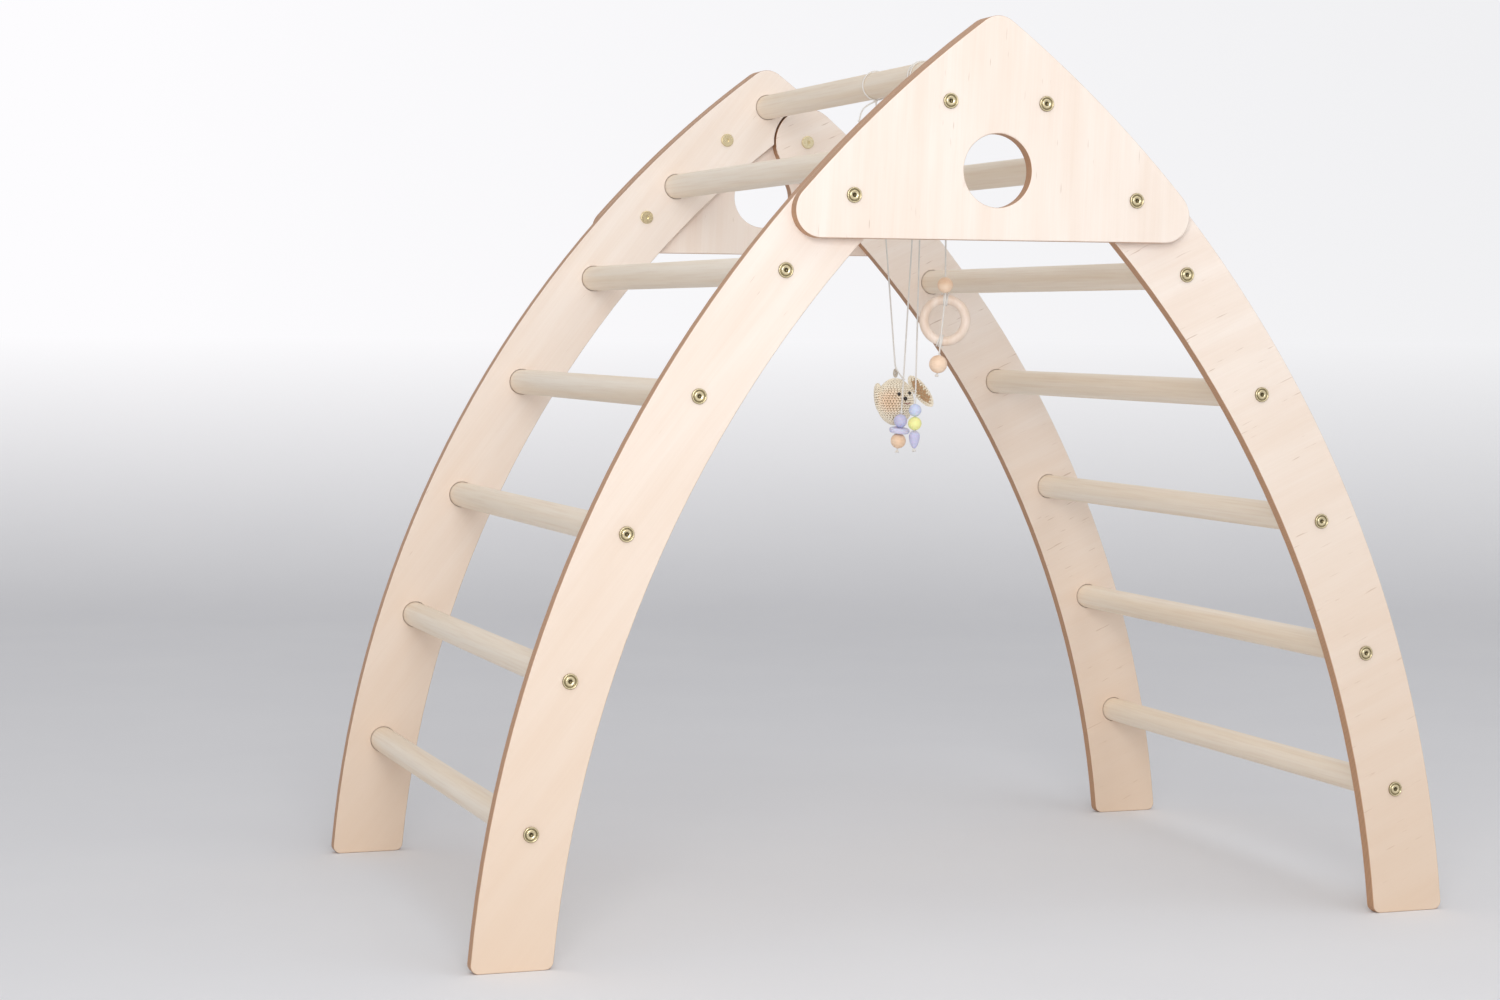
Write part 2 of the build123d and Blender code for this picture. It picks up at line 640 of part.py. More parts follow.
# Ring toy: a beech ring lashed to its cord between two wooden beads
lean = tan(radians(RING_CORD_LEAN))
bend_height = RING_HEIGHT + RING_RADIUS
end_height = RING_LOWER_BEAD_HEIGHT - (RING_LOWER_BEAD + END_KNOT_DIAMETER) / 2 - BEAD_GAP


def on_ring_cord(height):
    """A point of the ring toy's cord, which leans sideways below the ring's top."""
    sideways = -lean * max(bend_height - height, 0)
    return Vector(0, RING_TOY_ANCHOR, height) + Vector(*FACE_SIDEWAYS) * sideways


ring_points = [on_ring_cord(height) for height in (HITCH_HEIGHT, bend_height, end_height)]
foot_across = lean * 2 * RING_RADIUS
foot_turn = asin(foot_across / RING_RADIUS)
ring_cord = joined(
    cord_tube("ring cord", ring_points, [LASHED_BEND]),
    hitch(RING_TOY_ANCHOR),
    knot(ring_points[-1], END_KNOT_DIAMETER),
    lashing(pi / 2),
    lashing(-pi / 2 - foot_turn),
)
save("ring_cord", ring_cord)
with BuildPart(RING_PLANE) as ring:
    Torus(RING_RADIUS, RING_TUBE / 2)
save("teething_ring", ring.part)
upper_place = on_ring_cord(RING_UPPER_BEAD_HEIGHT)
lower_place = on_ring_cord(RING_LOWER_BEAD_HEIGHT)
save("ring_upper_bead", bored(Sphere(RING_UPPER_BEAD / 2), Plane(upper_place)))
save(
    "ring_lower_bead",
    bored(Sphere(RING_LOWER_BEAD / 2), Plane(lower_place, z_dir=ring_points[1] - ring_points[2])),
)
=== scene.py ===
# %% [markdown]
# # A wooden climbing triangle with three hanging toys
# The solids of the frame come in first and stay where they are. This lesson gives them their wood
# and metal, and makes the soft things new: the cords, the knots and the crocheted rabbit head.

# %% Load the fixed model
import bmesh
import bpy
from math import asin, cos, degrees, pi, radians, sin, sqrt
from mathutils import Matrix, Vector


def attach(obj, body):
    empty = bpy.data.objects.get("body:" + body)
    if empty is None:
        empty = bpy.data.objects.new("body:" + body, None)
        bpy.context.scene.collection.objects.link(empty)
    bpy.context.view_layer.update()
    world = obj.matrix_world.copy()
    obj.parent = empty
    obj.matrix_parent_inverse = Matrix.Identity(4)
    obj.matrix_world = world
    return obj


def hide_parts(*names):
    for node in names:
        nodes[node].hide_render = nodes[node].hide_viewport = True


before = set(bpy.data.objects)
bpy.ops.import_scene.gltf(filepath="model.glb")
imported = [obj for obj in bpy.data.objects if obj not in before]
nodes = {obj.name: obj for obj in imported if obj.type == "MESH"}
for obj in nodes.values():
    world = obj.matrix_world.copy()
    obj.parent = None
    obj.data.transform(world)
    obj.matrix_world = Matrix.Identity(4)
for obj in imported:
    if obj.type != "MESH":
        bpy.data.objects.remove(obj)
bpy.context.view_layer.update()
MM = 0.001

# %% [markdown]
# ## The camera
# The camera was fitted to the rungs and bolts, so it stands where the picture was taken from. A
# rotation built from its own right, up and back directions keeps the small roll as well.

# %% Camera
CAMERA_PLACE = Vector((-1.2373, -3.1673, 0.6472))
CAMERA_YAW = 0.3337
CAMERA_PITCH = 0.0603
CAMERA_ROLL = 0.0058
SENSOR_MM = 36.0
FOCAL_SHARE = 2941.9 / 1500

forward = Vector((sin(CAMERA_YAW) * cos(CAMERA_PITCH), cos(CAMERA_YAW) * cos(CAMERA_PITCH), -sin(CAMERA_PITCH)))
level_right = Vector((cos(CAMERA_YAW), -sin(CAMERA_YAW), 0))
level_up = level_right.cross(forward)
right = level_right * cos(CAMERA_ROLL) + level_up * sin(CAMERA_ROLL)
up = level_up * cos(CAMERA_ROLL) - level_right * sin(CAMERA_ROLL)
camera = bpy.data.objects.new("camera", bpy.data.cameras.new("camera"))
bpy.context.scene.collection.objects.link(camera)
camera.data.sensor_width = SENSOR_MM
camera.data.lens = SENSOR_MM * FOCAL_SHARE
turn = Matrix((right, up, -forward)).transposed().to_4x4()
camera.matrix_world = Matrix.Translation(CAMERA_PLACE) @ turn
bpy.context.scene.camera = camera
print("lens", round(camera.data.lens, 1), "mm")

# %% [markdown]
# ## Small helpers
# One helper adds a node with its settings and links, and one turns the sRGB colours that people
# write into the linear ones that light works with.

# %% Colour and node helpers
def linear(colour):
    """An sRGB hex colour as linear red, green, blue and alpha."""
    parts = [int(colour[i : i + 2], 16) / 255 for i in (1, 3, 5)]
    return tuple(c / 12.92 if c <= 0.04045 else ((c + 0.055) / 1.055) ** 2.4 for c in parts) + (1.0,)


def add_node(tree, kind, links=None, **settings):
    """Add one node, set its properties, and link or set its inputs."""
    made = tree.nodes.new(kind)
    for key, value in settings.items():
        setattr(made, key, value)
    for socket, value in (links or {}).items():
        if isinstance(value, bpy.types.NodeSocket):
            tree.links.new(value, made.inputs[socket])
        else:
            made.inputs[socket].default_value = value
    return made


def start_material(name, roughness, metallic=0.0):
    """A new material with its shader, and the object's own coordinates."""
    material = bpy.data.materials.new(name)
    material.use_nodes = True
    tree = material.node_tree
    shader = tree.nodes["Principled BSDF"]
    shader.inputs["Roughness"].default_value = roughness
    shader.inputs["Metallic"].default_value = metallic
    place = add_node(tree, "ShaderNodeTexCoord")
    return material, tree, shader, place


def blend_colours(tree, share, first, second):
    """Mix two colours by a share."""
    return add_node(tree, "ShaderNodeMix", {0: share, 6: first, 7: second}, data_type="RGBA").outputs[2]


def noise_on(tree, vector, scale, detail=2.0, turned=(0, 0, 0)):
    """Noise that is stretched by a scale per metre along each axis, in a turned frame."""
    face = add_node(tree, "ShaderNodeMapping", {"Vector": vector, "Rotation": turned})
    mapped = add_node(tree, "ShaderNodeMapping", {"Vector": face.outputs[0], "Scale": scale}).outputs[0]
    return add_node(tree, "ShaderNodeTexNoise", {"Vector": mapped, "Scale": 1.0, "Detail": detail}).outputs[0]


def ramp(tree, value, low, high, to_low=0.0, to_high=1.0):
    """Spread a value between two limits."""
    links = {"Value": value, "From Min": low, "From Max": high, "To Min": to_low, "To Max": to_high}
    return add_node(tree, "ShaderNodeMapRange", links).outputs[0]


def raise_grain(tree, shader, height, depth_mm, strength):
    """Give the surface a fine relief of a real depth."""
    bump = add_node(tree, "ShaderNodeBump", {"Height": height, "Distance": depth_mm * MM, "Strength": strength})
    tree.links.new(bump.outputs[0], shader.inputs["Normal"])


def looking_rays(tree):
    """One for a ray from the camera or a mirror, or through glass, and none for light."""
    ray = add_node(tree, "ShaderNodeLightPath").outputs
    seen = ray["Is Camera Ray"]
    for kind in ("Is Glossy Ray", "Is Transmission Ray"):
        seen = add_node(tree, "ShaderNodeMath", {0: seen, 1: ray[kind]}, operation="ADD", use_clamp=True).outputs[0]
    return seen


def dress(names, material):
    """Give CAD pieces one finish."""
    for name in names:
        nodes[name].data.materials.clear()
        nodes[name].data.materials.append(material)


print("helpers ready")

# %% [markdown]
# ## Birch plywood
# The panels are sanded birch plywood: pale rotary-cut faces with soft cloudy figure, a few short
# dark flecks along the grain, and brown cut edges where eleven veneers show. The edge is found
# from the surface's own direction, because the panels' thickness runs along Y.

# %% Plywood finish
VENEER_MM = 15.0 / 11
FACE_PALE, FACE_WARM = "#F8ECE1", "#F3E3D5"
EDGE_DARK, EDGE_LIGHT, FLECK = "#A37654", "#CDA07A", "#B4947A"


def birch_plywood(name, grain_turn, fleck_start):
    """Sanded birch ply whose grain leans by an angle from upright."""
    material, tree, shader, place = start_material(name, 0.5)
    spot, lean = place.outputs["Object"], (0, grain_turn, 0)
    # cloudy figure about 25 mm wide, fibres about 1.5 mm wide, flecks about 2.5 by 30 mm
    figure = ramp(tree, noise_on(tree, spot, (40, 12, 4), 3.0, lean), 0.35, 0.68)
    fibres = noise_on(tree, spot, (650, 200, 14), 2.0, lean)
    flecks = ramp(tree, noise_on(tree, spot, (420, 80, 34), 1.0, lean), fleck_start, fleck_start + 0.05)
    face = blend_colours(tree, figure, linear(FACE_PALE), linear(FACE_WARM))
    face = blend_colours(tree, ramp(tree, fibres, 0.3, 0.7, 0.0, 0.09), face, linear("#D9BFA6"))
    face = blend_colours(tree, ramp(tree, flecks, 0.0, 1.0, 0.0, 0.55), face, linear(FLECK))
    parts = add_node(tree, "ShaderNodeSeparateXYZ", {0: spot})
    # painted shade: the faces darken towards the foot, where less lamp light reaches
    painted_shade_toward_foot = ramp(tree, parts.outputs["Z"], 0.0, 0.7, 0.75, 0.0)
    face = blend_colours(tree, painted_shade_toward_foot, face, linear("#E0C4A8"))
    veneer = add_node(tree, "ShaderNodeMath", {0: parts.outputs["Y"], 1: VENEER_MM * MM}, operation="PINGPONG")
    layer = ramp(tree, veneer.outputs[0], 0.3 * VENEER_MM * MM, 0.7 * VENEER_MM * MM)
    edge = blend_colours(tree, layer, linear(EDGE_DARK), linear(EDGE_LIGHT))
    heading = add_node(tree, "ShaderNodeSeparateXYZ", {0: place.outputs["Normal"]})
    facing = add_node(tree, "ShaderNodeMath", {0: heading.outputs["Y"]}, operation="ABSOLUTE")
    on_face = ramp(tree, facing.outputs[0], 0.45, 0.8)
    tree.links.new(blend_colours(tree, on_face, edge, face), shader.inputs["Base Color"])
    raise_grain(tree, shader, fibres, 0.05, 0.25)
    return material


gusset_ply = birch_plywood("birch plywood, upright grain", radians(-2), 0.75)
left_leg_ply = birch_plywood("birch plywood, grain leaning left", radians(-38), 0.8)
right_leg_ply = birch_plywood("birch plywood, grain leaning over", radians(-66), 0.73)
panels = [name for name in nodes if name.endswith(("_gusset", "_leg"))]
for name in panels:
    finish = gusset_ply if name.endswith("_gusset") else left_leg_ply if name.startswith("left") else right_leg_ply
    dress([name], finish)
print("plywood on", len(panels), "panels")

# %% [markdown]
# ## Turned and rounded wood
# Dowels, beads and the teething ring are solid wood, so the fibres run one way all through. The
# dowels are a little yellower than the panels, and the beads are raw beech with short dark rays.

# %% Solid wood finishes
def solid_wood(name, pale, warm, along, roughness):
    """Solid wood: along is the scale of its fibres per metre on each axis."""
    material, tree, shader, place = start_material(name, roughness)
    fibres = noise_on(tree, place.outputs["Object"], along, 3.0)
    slow = noise_on(tree, place.outputs["Object"], tuple(scale / 6 for scale in along), 2.0)
    colour = blend_colours(tree, ramp(tree, slow, 0.35, 0.65), linear(pale), linear(warm))
    colour = blend_colours(tree, ramp(tree, fibres, 0.45, 0.75, 0.0, 0.2), colour, linear("#CFAA86"))
    tree.links.new(colour, shader.inputs["Base Color"])
    raise_grain(tree, shader, fibres, 0.04, 0.25)
    return material


rungs = [name for name in nodes if "_rung_" in name and name[-1].isdigit()] + ["top_rung"]
dress(rungs, solid_wood("birch dowel, sanded", "#F8ECDB", "#F1E0C9", (420, 9, 420), 0.48))
bead_wood = solid_wood("beech bead, raw", "#F8DDC3", "#EEC9A6", (260, 260, 700), 0.5)
dress(["garland_wood_bead", "ring_upper_bead", "ring_lower_bead"], bead_wood)
dress(["teething_ring"], solid_wood("beech ring, smooth", "#F0E0D2", "#E2CCB9", (500, 300, 90), 0.42))
print("rungs", len(rungs))

# %% [markdown]
# ## Silicone and the black eyes
# Silicone beads are matt and slightly soft to light. A faint mould texture keeps them from looking
# like paint. The eyes and the nose are small glossy safety beads.

# %% Silicone finishes
def moulded(name, colour, shade, roughness, softness):
    """Moulded silicone or plastic with a fine even texture."""
    material, tree, shader, place = start_material(name, roughness)
    grit = noise_on(tree, place.outputs["Object"], (1500, 1500, 1500), 2.0)
    tree.links.new(blend_colours(tree, grit, linear(colour), linear(shade)), shader.inputs["Base Color"])
    shader.inputs["Subsurface Weight"].default_value = softness
    shader.inputs["Subsurface Scale"].default_value = 2 * MM
    raise_grain(tree, shader, grit, 0.03, 0.3)
    return material


lavender = moulded("silicone, lavender", "#D0CFEB", "#C6C5E5", 0.55, 0.15)
dress(["lavender_bead", "lavender_drop_bead"], lavender)
dress(["lavender_disc"], moulded("silicone, pale lavender", "#DADAF1", "#D0D0EB", 0.55, 0.15))
dress(["blue_bead"], moulded("silicone, light blue", "#D3DCF3", "#C8D3EF", 0.55, 0.15))
dress(["yellow_bead"], moulded("silicone, pale yellow", "#FAF8AE", "#F3F19F", 0.55, 0.15))
dress(["rabbit_eyes", "rabbit_nose"], moulded("black plastic, glossy", "#17110F", "#231A17", 0.16, 0.0))

# %% [markdown]
# ## Metal
# The bolts are steel with a yellow zinc coat, which looks like dull brass. The insert nuts are
# plain zinc. The rings of the heads are part of their own mesh, further down.

# %% Metal finishes
def plated_steel(name, colour, shade, roughness):
    """Plated steel: the coat is a little uneven, and painted shade darkens the socket, groove and outer edge that a
    bolt head's mesh marks.
    """
    material, tree, shader, place = start_material(name, roughness, 1.0)
    cloud = noise_on(tree, place.outputs["Object"], (320, 320, 320), 3.0)
    coat = blend_colours(tree, cloud, linear(colour), linear(shade))
    recess_shade = add_node(tree, "ShaderNodeAttribute", attribute_name="recess_shade").outputs["Fac"]
    # painted shade: a dark brown laid into the socket, the groove and round the outer edge
    coat = blend_colours(tree, ramp(tree, recess_shade, 0.0, 1.0, 0.0, 0.9), coat, linear("#4A3E22"))
    tree.links.new(coat, shader.inputs["Base Color"])
    tree.links.new(ramp(tree, cloud, 0.3, 0.7, roughness - 0.06, roughness + 0.1), shader.inputs["Roughness"])
    return material


yellow_zinc = plated_steel("steel, yellow zinc", "#E8DCBB", "#CDBC90", 0.28)
fasteners = [name for name in nodes if "bolts" in name or "nuts" in name or "screws" in name]
dress(fasteners, yellow_zinc)
dress([name for name in nodes if "inserts" in name], plated_steel("steel, clear zinc", "#C9CACB", "#A9ABAD", 0.35))

# %% [markdown]
# ## Repeating one part with Geometry Nodes
# Bolt heads and crochet stitches are the same job: one small part, seated many times, each facing
# out of its surface. Points carry two directions, out and along, and one tree seats the part on
# every point. A fixed seed makes each copy a little different in size in the same way each run.

# %% The tree that seats a part on points
def seating_tree():
    """A tree that seats a part on points by their out and along directions."""
    tree = bpy.data.node_groups.new("seat parts on points", "GeometryNodeTree")
    sockets = [("Geometry", "NodeSocketGeometry"), ("Part", "NodeSocketObject"), ("Smallest", "NodeSocketFloat")]
    sockets += [("Largest", "NodeSocketFloat"), ("Seed", "NodeSocketInt"), ("Finish", "NodeSocketMaterial")]
    for name, kind in sockets:
        tree.interface.new_socket(name, in_out="INPUT", socket_type=kind)
    tree.interface.new_socket("Geometry", in_out="OUTPUT", socket_type="NodeSocketGeometry")
    given = add_node(tree, "NodeGroupInput").outputs
    out = add_node(tree, "GeometryNodeInputNamedAttribute", {"Name": "out"}, data_type="FLOAT_VECTOR").outputs[0]
    along = add_node(tree, "GeometryNodeInputNamedAttribute", {"Name": "along"}, data_type="FLOAT_VECTOR").outputs[0]
    facing = add_node(tree, "FunctionNodeAxesToRotation", {0: out, 1: along}, primary_axis="Z", secondary_axis="Y")
    size = add_node(tree, "FunctionNodeRandomValue", data_type="FLOAT")
    tree.links.new(given["Smallest"], size.inputs[2])
    tree.links.new(given["Largest"], size.inputs[3])
    tree.links.new(given["Seed"], size.inputs["Seed"])
    part = add_node(tree, "GeometryNodeObjectInfo", {"Object": given["Part"]})
    seated = add_node(
        tree,
        "GeometryNodeInstanceOnPoints",
        {"Points": given["Geometry"], "Instance": part.outputs["Geometry"], "Rotation": facing.outputs[0]},
    )
    tree.links.new(size.outputs[1], seated.inputs["Scale"])
    real = add_node(tree, "GeometryNodeRealizeInstances", {0: seated.outputs[0]})
    finish = add_node(tree, "GeometryNodeSetMaterial", {"Geometry": real.outputs[0], "Material": given["Finish"]})
    tree.links.new(finish.outputs[0], add_node(tree, "NodeGroupOutput").inputs[0])
    return tree


SEATING = seating_tree()


def show(name, mesh):
    """Put a mesh in the scene as an object at the origin."""
    made = bpy.data.objects.new(name, mesh)
    bpy.context.scene.collection.objects.link(made)
    return made


def seat_parts(name, part_mesh, seats, finish, sizes=(1.0, 1.0), seed=1):
    """One plain mesh of a part seated at every (place, out, along)."""
    mesh = bpy.data.meshes.new(name + " points")
    mesh.from_pydata([seat[0] for seat in seats], [], [])
    for attribute, index in (("out", 1), ("along", 2)):
        data = mesh.attributes.new(attribute, "FLOAT_VECTOR", "POINT").data
        for item, seat in zip(data, seats):
            item.vector = seat[index]
    part, holder = show(name + " part", part_mesh), show(name + " points", mesh)
    modifier = holder.modifiers.new("seats", "NODES")
    modifier.node_group = SEATING
    values = {"Part": part, "Smallest": sizes[0], "Largest": sizes[1], "Seed": seed, "Finish": finish}
    for item in SEATING.interface.items_tree:
        if item.in_out == "INPUT" and item.name in values:
            modifier[item.identifier] = values[item.name]
    shape = bpy.data.meshes.new_from_object(holder.evaluated_get(bpy.context.evaluated_depsgraph_get()))
    holder.modifiers.clear()
    bpy.data.objects.remove(holder)
    bpy.data.objects.remove(part)
    for face in shape.polygons:
        face.use_smooth = True
    print(name, "copies", len(seats), "faces", len(shape.polygons))
    return show(name, shape)


# %% [markdown]
# ## Bolt heads
# Each bolt has a low round head with a raised rim, a turned groove and a hexagon socket. Seen from
# a step away it is a small target of rings. A half profile spun about its axis gives the rings,
# and the points inside the socket are pulled on to a hexagon.

# %% One bolt head
HEAD_PROFILE_MM = [
    (0, 0), (8, 0), (8, 1.3), (7.8, 1.9), (7.3, 2.2), (6.8, 2.2), (6.5, 1.9), (6.3, 1.3), (5.2, 1.3),
    (5.0, 1.8), (4.6, 2.2), (3.9, 2.3), (3.2, 2.1), (2.6, 1.8), (2.1, 1.7), (2.0, 0.7), (0, 0.6),
]
SOCKET_HALF_FLATS_MM = 2.0
# how far out the socket, the groove and the outer edge lie, and how much painted shade each gets
SOCKET_REACH_MM, GROOVE_MM, EDGE_FROM_MM = 2.4, (5.1, 6.4), 7.7
SOCKET_SHADE, GROOVE_SHADE, EDGE_OF_HEAD_SHADE = 1.0, 0.75, 0.6


def bolt_head():
    """A spun bolt head that stands on its seat and faces up its own Z."""
    shape = bmesh.new()
    ring = [shape.verts.new((r * MM, 0, z * MM)) for r, z in HEAD_PROFILE_MM]
    edges = [shape.edges.new(pair) for pair in zip(ring, ring[1:])]
    bmesh.ops.spin(shape, geom=ring + edges, axis=(0, 0, 1), cent=(0, 0, 0), steps=48, angle=2 * pi)
    bmesh.ops.remove_doubles(shape, verts=shape.verts, dist=0.01 * MM)
    for vert in shape.verts:
        reach = Vector(vert.co.xy)
        if 0 < reach.length < 2.2 * MM and vert.co.z > 0.65 * MM:
            angle = Vector((1, 0)).angle_signed(reach) % (pi / 3) - pi / 6
            vert.co.xy = reach.normalized() * (SOCKET_HALF_FLATS_MM * MM / cos(angle))
    bmesh.ops.recalc_face_normals(shape, faces=shape.faces)
    mesh = bpy.data.meshes.new("bolt head")
    shape.to_mesh(mesh)
    shape.free()
    # painted shade: mark the socket, the groove and the outer edge for darkening
    recess_shade = mesh.attributes.new("recess_shade", "FLOAT", "POINT").data
    for item, vert in zip(recess_shade, mesh.vertices):
        reach, rise = vert.co.xy.length / MM, vert.co.z / MM
        if reach < SOCKET_REACH_MM and rise > 0.5:
            item.value = SOCKET_SHADE
        elif GROOVE_MM[0] < reach < GROOVE_MM[1] and rise > 1:
            item.value = GROOVE_SHADE
        elif reach > EDGE_FROM_MM:
            item.value = EDGE_OF_HEAD_SHADE
    return mesh


# %% Seats of the bolts, on the circle through the rungs
CIRCLE_MM, TOP_ANGLE, TOP_HEIGHT_MM, SPACING_MM = 1286.0, 53.24, 917.0, 157.0
PANEL_FACE_MM, GUSSET_FACE_MM = 357.5, 372.5
RUNG_STEP = 2 * degrees(asin(SPACING_MM / 2 / CIRCLE_MM))


def on_circle(angle, side):
    """A point of the rung circle at an angle, in metres, seen from the front."""
    across = CIRCLE_MM * (cos(radians(angle)) - cos(radians(TOP_ANGLE)))
    rise = CIRCLE_MM * (sin(radians(angle)) - sin(radians(TOP_ANGLE))) + TOP_HEIGHT_MM
    return side * across * MM, rise * MM


rung_angles = [TOP_ANGLE - count * RUNG_STEP for count in range(2, 7)]
gusset_angles = [TOP_ANGLE - degrees(reach / CIRCLE_MM) for reach in (68.4, 212.0)]
left_rungs = [on_circle(angle, -1) for angle in rung_angles]
right_rungs = [on_circle(angle, 1) for angle in rung_angles]
gusset_points = [on_circle(angle, side) for side in (-1, 1) for angle in gusset_angles]
for end, way in (("front", -1), ("rear", 1)):
    groups = [
        (f"left_{end}_rung_bolts", left_rungs, PANEL_FACE_MM),
        (f"right_{end}_rung_bolts", right_rungs, PANEL_FACE_MM),
        (f"{end}_gusset_bolts", gusset_points, GUSSET_FACE_MM),
    ]
    for group, points, face in groups:
        seats = []
        for count, (x, z) in enumerate(points):
            twist = radians(23 * count + 7 * way)
            seats.append(((x, way * face * MM, z), (0, way, 0), (sin(twist), 0, cos(twist))))
        heads = seat_parts("heads_" + group, bolt_head(), seats, yellow_zinc)
        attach(heads, "frame")
        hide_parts(group)

# %% [markdown]
# ## Cord and yarn
# Cotton cord is a few strands laid together, so slanting ridges cross it. The real ridges are
# finer than this picture can show, so they are drawn about 1 mm apart. A faint sheen lets the
# fibres catch light at their edges.

# %% Yarn finishes
def yarn_finish(name, pale, shade, ridge_mm, blush=None):
    """Twisted cotton. A blush is a colour, a place and a reach where the yarn changes tone."""
    material, tree, shader, place = start_material(name, 0.85)
    spot = place.outputs["Object"]
    slanted = add_node(tree, "ShaderNodeMapping", {"Vector": spot, "Rotation": (0.5, 0.9, 0.4)})
    # one band of the wave is 0.314 of a metre at scale 1
    twist = add_node(tree, "ShaderNodeTexWave", {"Vector": slanted.outputs[0], "Scale": 0.314 / (ridge_mm * MM)})
    # painted shade: the low parts of the twist take the shade colour, so the grooves read darker
    colour = blend_colours(tree, ramp(tree, twist.outputs["Fac"], 0.1, 0.9), linear(shade), linear(pale))
    dusky = ramp(tree, noise_on(tree, spot, (160, 160, 160)), 0.3, 0.7, 0, 0.35)
    colour = blend_colours(tree, dusky, colour, linear(shade))
    if blush:
        reach = add_node(tree, "ShaderNodeVectorMath", {0: spot, 1: blush[1]}, operation="DISTANCE")
        near = ramp(tree, reach.outputs["Value"], 0.35 * blush[2], blush[2], 0.8, 0.0)
        colour = blend_colours(tree, near, colour, linear(blush[0]))
    tree.links.new(colour, shader.inputs["Base Color"])
    shader.inputs["Sheen Weight"].default_value = 0.25
    raise_grain(tree, shader, twist.outputs["Fac"], 0.15, 0.5)
    return material


cord_cotton = yarn_finish("cotton cord, off-white", "#F3F0EB", "#D9D4CD", 1.0)
tab_cotton = yarn_finish("cotton yarn, grey-brown", "#D2C8BA", "#B8AD9E", 0.9)

# %% [markdown]
# ## The cords
# Each toy hangs on a thin limp cord that its load pulls straight, from a loop round the top rung.
# A NURBS spline through few points gives one smooth line. Where a long straight stretch meets a
# bend, one more point about six diameters from it keeps the stretch straight.

# %% Cord helpers
CORD_MM = 1.8
RUNG_HEIGHT_MM, HITCH_MM, LOOP_MM = 917.0, 899.5, 16.2


def metres(point):
    """A point in millimetres as metres."""
    return Vector(point) * MM


def strand(name, points, diameter_mm, finish, closed=False):
    """A round strand along a NURBS line through points in millimetres."""
    curve = bpy.data.curves.new(name, "CURVE")
    curve.dimensions = "3D"
    curve.bevel_depth = diameter_mm * MM / 2
    curve.bevel_resolution = 3
    curve.resolution_u = 8
    curve.use_fill_caps = True
    line = curve.splines.new("NURBS")
    line.points.add(len(points) - 1)
    for item, point in zip(line.points, points):
        item.co = (*metres(point), 1.0)
    line.order_u = 3
    line.use_endpoint_u = not closed
    line.use_cyclic_u = closed
    curve.materials.append(finish)
    return show(name, curve)


def rung_loop(name, anchor):
    """The cord's loop round the top rung."""
    turns = [2 * pi * count / 16 for count in range(16)]
    # a cyclic quadratic line lies inside its points, so they stand out a little further
    reach = LOOP_MM / cos(pi / 16)
    points = [(reach * cos(t), anchor, RUNG_HEIGHT_MM + reach * sin(t)) for t in turns]
    return strand(name, points, CORD_MM, cord_cotton, closed=True)


def tied_knot(name, middle, diameter_mm, finish):
    """A small overhand knot: a three-lobed closed line of thick cord."""
    points = []
    for count in range(18):
        t = 2 * pi * count / 18
        lobes = Vector((sin(t) + 2 * sin(2 * t), cos(t) - 2 * cos(2 * t), -sin(3 * t)))
        points.append(Vector(middle) + lobes * (diameter_mm / 2 - 0.8) / 3)
    return strand(name, points, 1.7, finish, closed=True)


# %% Routes of the cords, in millimetres
LONG_ROUTE = [(0, -28, 899.5), (1.6, -88.1, 606), (1.7, -90.4, 595.4), (0, -118.8, 585)]
TAIL_ROUTE = [(0, -28, 899.5), (-8, -25, 896), (-16, -21, 888), (-17, -20, 877)]
SHORT_ROUTE = [(0, -163, 899.5), (0, -115.1, 559), (0, -113.6, 548), (-2.5, -107.5, 503.5)]
DROP_ROUTE = [(0, -170, 899.5), (0, -160, 690), (0, -151.5, 506.5)]
RING_ROUTE = [(0, -236, 899.5), (0, -236, 684), (0, -236, 673.1), (-7.6, -232.9, 590.9)]
long_cord = strand("long_cord", LONG_ROUTE, CORD_MM, cord_cotton)
tail_cord = strand("slack_tail", TAIL_ROUTE, CORD_MM, cord_cotton)
short_cord = strand("short_cord", SHORT_ROUTE, CORD_MM, cord_cotton)
drop_cord = strand("bead_drop_cord", DROP_ROUTE, CORD_MM, cord_cotton)
ring_cord = strand("ring_toy_cord", RING_ROUTE, CORD_MM, cord_cotton)
print("cords made")

# %% Loops and knots
knots = {}
for toy, anchor, route, end_mm in (
    ("long", -28, LONG_ROUTE, 4.2),
    ("short", -163, SHORT_ROUTE, 5.0),
    ("drop", -170, DROP_ROUTE, 5.0),
    ("ring", -236, RING_ROUTE, 5.0),
):
    knots[toy] = [
        rung_loop(toy + "_rung_loop", anchor),
        tied_knot(toy + "_hitch_knot", (0, anchor, HITCH_MM), 4.4, cord_cotton),
        tied_knot(toy + "_end_knot", route[-1], end_mm, cord_cotton),
    ]
tail_knot = tied_knot("tail_knot", TAIL_ROUTE[-1], 3.6, cord_cotton)
join_knot = tied_knot("garland_join_knot", SHORT_ROUTE[2], 4.4, cord_cotton)

# %% [markdown]
# ## The lashings of the ring
# The cord is wound three times round the ring's wood at its top and at its foot, and runs straight
# across the hole between them. A helix about the ring's own tube is that winding.

# %% Lashings
FACE_TURN = radians(22.4)
SIDEWAYS = Vector((cos(FACE_TURN), -sin(FACE_TURN), 0))
TOWARD = Vector((-sin(FACE_TURN), -cos(FACE_TURN), 0))
RING_MM, TUBE_MM, RING_HEIGHT_MM = 22.5, 10.5, 650.6
# the sine of the cord's lean where it crosses the ring's foot
FOOT_LEAN = 0.1996
ring_middle = Vector((0, -236, RING_HEIGHT_MM)) - TOWARD * ((TUBE_MM + CORD_MM) / 2 + 0.1)


